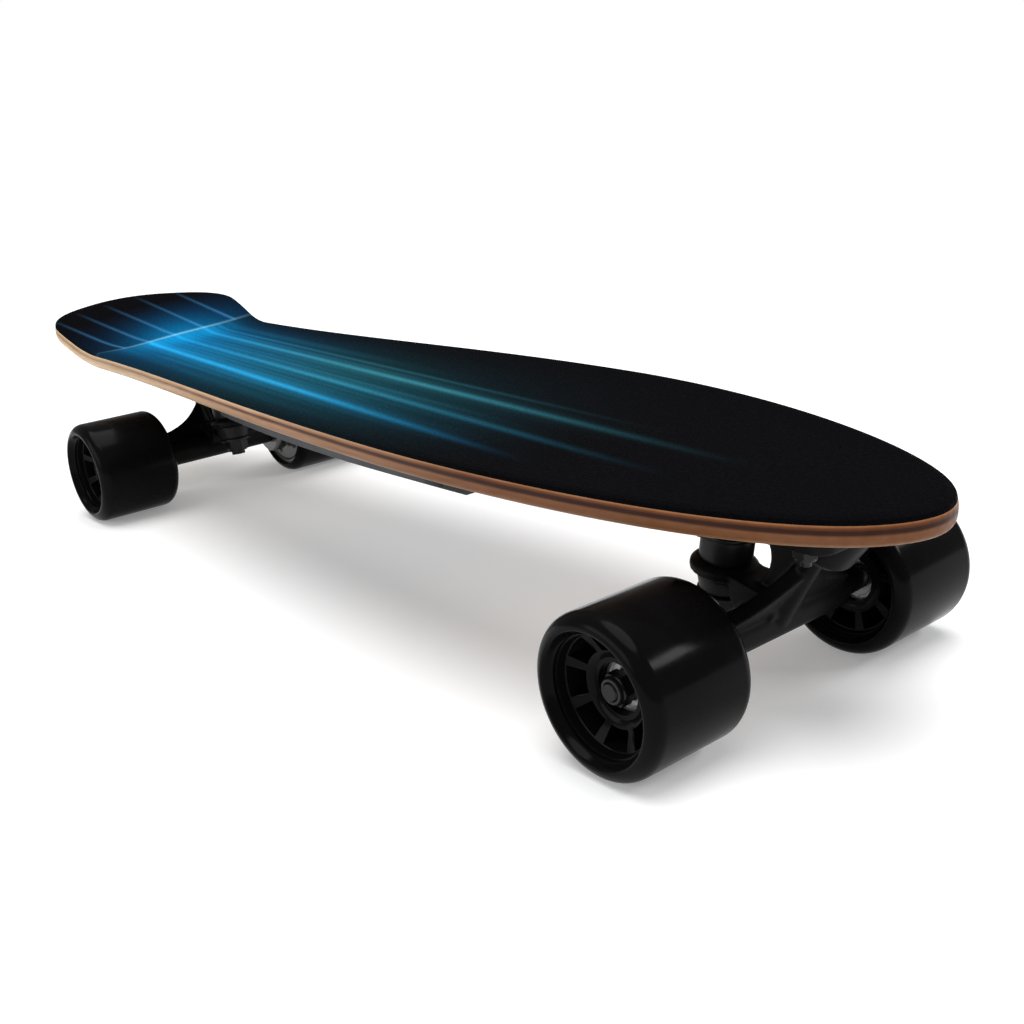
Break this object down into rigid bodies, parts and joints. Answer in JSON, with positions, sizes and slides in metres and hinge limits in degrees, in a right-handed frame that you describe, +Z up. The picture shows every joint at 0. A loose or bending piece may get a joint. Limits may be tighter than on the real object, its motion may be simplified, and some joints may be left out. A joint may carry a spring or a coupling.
{
  "type": "electric skateboard",
  "caption": "Short electric cruiser skateboard with a kick tail, sprung kingpin trucks, wide wheels, a hub-motor rear wheel and a low electronics box under the deck.",
  "frame": {"origin": "on the ground, under the middle of the board's length and width", "axes": "+X towards the nose, +Y towards the rider's left side of the board, +Z up"},
  "size_m": [0.7388, 0.211, 0.1368],
  "materials": {
    "maple": "seven bonded plies with a clear satin edge",
    "grip": "black abrasive sheet printed with blue streaks",
    "black_steel": "black oxide",
    "zinc_steel": "zinc plated or ground",
    "riser_rubber": "matt black",
    "black_cast": "cast, satin black powder coat",
    "cup_plastic": "moulded",
    "upper_urethane": "satin urethane",
    "lower_urethane": "satin urethane",
    "wheel_urethane": "glossy cast urethane",
    "core_plastic": "glossy moulded nylon",
    "motor_steel": "machined",
    "magnet": "nickel plated",
    "motor_alloy": "machined and satin anodised",
    "copper": "enamelled copper wire",
    "box_plastic": "dark blue-grey, fine texture",
    "cell_wrap": "shrink wrap",
    "holder_plastic": "moulded",
    "board_resin": "solder mask",
    "heatsink_alloy": "extruded",
    "switch_metal": "black anodised",
    "button_plastic": "moulded",
    "light_plastic": "clear tinted lens",
    "socket_plastic": "moulded",
    "flap_rubber": "matt"
  },
  "bodies": {
    "board": {"deck": "maple", "grip_tape": "grip", "deck_bolts": "black_steel", "front_kingpin": "black_steel", "rear_kingpin": "black_steel", "enclosure_screws": "black_steel", "deck_nuts": "black_steel", "front_kingpin_nut": "black_steel", "rear_kingpin_nut": "black_steel", "front_bushing_washers": "black_steel", "rear_bushing_washers": "black_steel", "front_riser_pad": "riser_rubber", "rear_riser_pad": "riser_rubber", "enclosure_gasket": "riser_rubber", "front_baseplate": "black_cast", "rear_baseplate": "black_cast", "front_pivot_cup": "cup_plastic", "rear_pivot_cup": "cup_plastic", "front_upper_bushing": "upper_urethane", "rear_upper_bushing": "upper_urethane", "front_lower_bushing": "lower_urethane", "rear_lower_bushing": "lower_urethane", "enclosure": "box_plastic", "battery_cells": "cell_wrap", "battery_holders": "holder_plastic", "battery_board": "board_resin", "controller_board": "board_resin", "controller_heatsink": "heatsink_alloy", "power_switch": "switch_metal", "status_light": "light_plastic", "charge_socket": "socket_plastic", "cable_gland": "socket_plastic"},
    "front_truck": {"front_hanger": "black_cast", "front_axle": "black_steel", "front_axle_nuts": "black_steel", "front_wheel_spacers": "zinc_steel"},
    "rear_truck": {"rear_hanger": "black_cast", "rear_axle": "black_steel", "rear_axle_nut": "black_steel", "rear_wheel_spacers": "zinc_steel", "motor_axle": "motor_alloy", "motor_stator": "motor_steel", "motor_windings": "copper"},
    "front_right_wheel": {"front_right_tyre": "wheel_urethane", "front_right_core": "core_plastic", "front_right_bearings": "zinc_steel"},
    "front_left_wheel": {"front_left_tyre": "wheel_urethane", "front_left_core": "core_plastic", "front_left_bearings": "zinc_steel"},
    "rear_right_wheel": {"rear_right_tyre": "wheel_urethane", "rear_right_core": "core_plastic", "rear_right_bearings": "zinc_steel"},
    "motor_wheel": {"motor_tyre": "wheel_urethane", "motor_can": "motor_steel", "motor_magnets": "magnet", "motor_covers": "motor_alloy", "motor_cover_screws": "black_steel", "motor_bearings": "zinc_steel"},
    "button": {"power_button": "button_plastic"},
    "flap": {"charge_port_flap": "flap_rubber"}
  },
  "joints": [
    {"name": "front_steer", "type": "hinge", "parent": "board", "child": "front_truck", "pos_m": [0.26225, 0, 0.0548], "axis": [0.9441, 0, 0.3298], "range_deg": [-12, 12], "stiffness_Nm_per_rad": 70, "deforming": ["front_upper_bushing", "front_lower_bushing"]},
    {"name": "rear_steer", "type": "hinge", "parent": "board", "child": "rear_truck", "pos_m": [-0.21176, 0, 0.0542], "axis": [-0.9355, 0, 0.3533], "range_deg": [-12, 12], "stiffness_Nm_per_rad": 70, "deforming": ["rear_upper_bushing", "rear_lower_bushing"]},
    {"name": "front_right_spin", "type": "hinge", "parent": "front_truck", "child": "front_right_wheel", "pos_m": [0.286, -0.077, 0.035], "axis": [0, 1, 0], "continuous": true},
    {"name": "front_left_spin", "type": "hinge", "parent": "front_truck", "child": "front_left_wheel", "pos_m": [0.286, 0.077, 0.035], "axis": [0, 1, 0], "continuous": true},
    {"name": "rear_right_spin", "type": "hinge", "parent": "rear_truck", "child": "rear_right_wheel", "pos_m": [-0.236, -0.077, 0.035], "axis": [0, 1, 0], "continuous": true},
    {"name": "motor_spin", "type": "hinge", "parent": "rear_truck", "child": "motor_wheel", "pos_m": [-0.236, 0.077, 0.035], "axis": [0, 1, 0], "continuous": true},
    {"name": "power_press", "type": "slide", "parent": "board", "child": "button", "axis": [0.0125, 0, 0.9999], "range_m": [0, 0.0015], "stiffness_N_per_m": 900, "springref_m": -0.0005},
    {"name": "flap_hinge", "type": "hinge", "parent": "board", "child": "flap", "pos_m": [-0.10002, 0, 0.06465], "axis": [0, 1, 0], "range_deg": [0, 110]}
  ]
}
